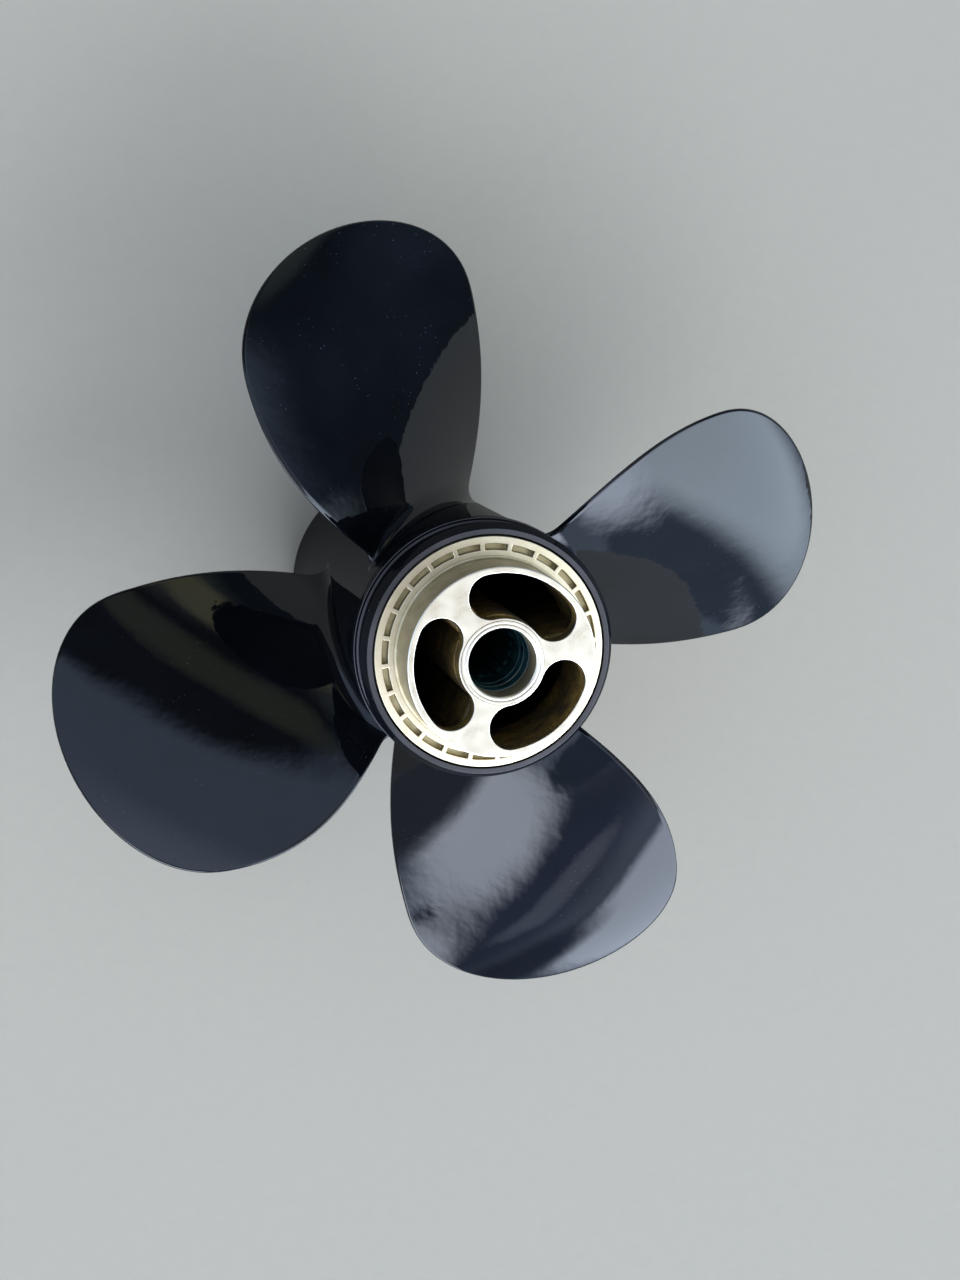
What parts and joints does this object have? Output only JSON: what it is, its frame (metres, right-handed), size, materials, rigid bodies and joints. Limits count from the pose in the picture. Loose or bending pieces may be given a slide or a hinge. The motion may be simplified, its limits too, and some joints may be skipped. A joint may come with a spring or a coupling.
{
  "type": "four-blade boat propeller",
  "caption": "Four broad raked blades round a hollow hub barrel with a waisted collar, a ring of shallow pockets and a raised face pierced by kidney-shaped passages round a splined bore.",
  "frame": {"origin": "centre of the flat aft rim that the propeller stands on", "axes": "+Z along the shaft axis, up towards the raised face with the kidney-shaped passages; the first blade's tip lies 15.2 degrees from +X towards +Y"},
  "size_m": [0.3916, 0.3916, 0.2294],
  "materials": {
    "black_coating": "gloss",
    "black_collar": "satin",
    "pale_bronze": "satin",
    "dull_bronze": "satin",
    "machined_bronze": "machined",
    "tarnished_bronze": "dull",
    "greased_splines": "greased"
  },
  "bodies": {
    "root": {"barrel": "black_coating", "collar": "black_collar", "blade_1": "black_coating", "blade_2": "black_coating", "blade_3": "black_coating", "blade_4": "black_coating", "pocket_ring": "pale_bronze", "neck": "dull_bronze", "kidney_plate": "machined_bronze", "boss_ring": "machined_bronze", "boss_tube": "tarnished_bronze", "spline_lining": "greased_splines", "web_1": "tarnished_bronze", "web_2": "tarnished_bronze", "web_3": "tarnished_bronze"}
  },
  "joints": []
}
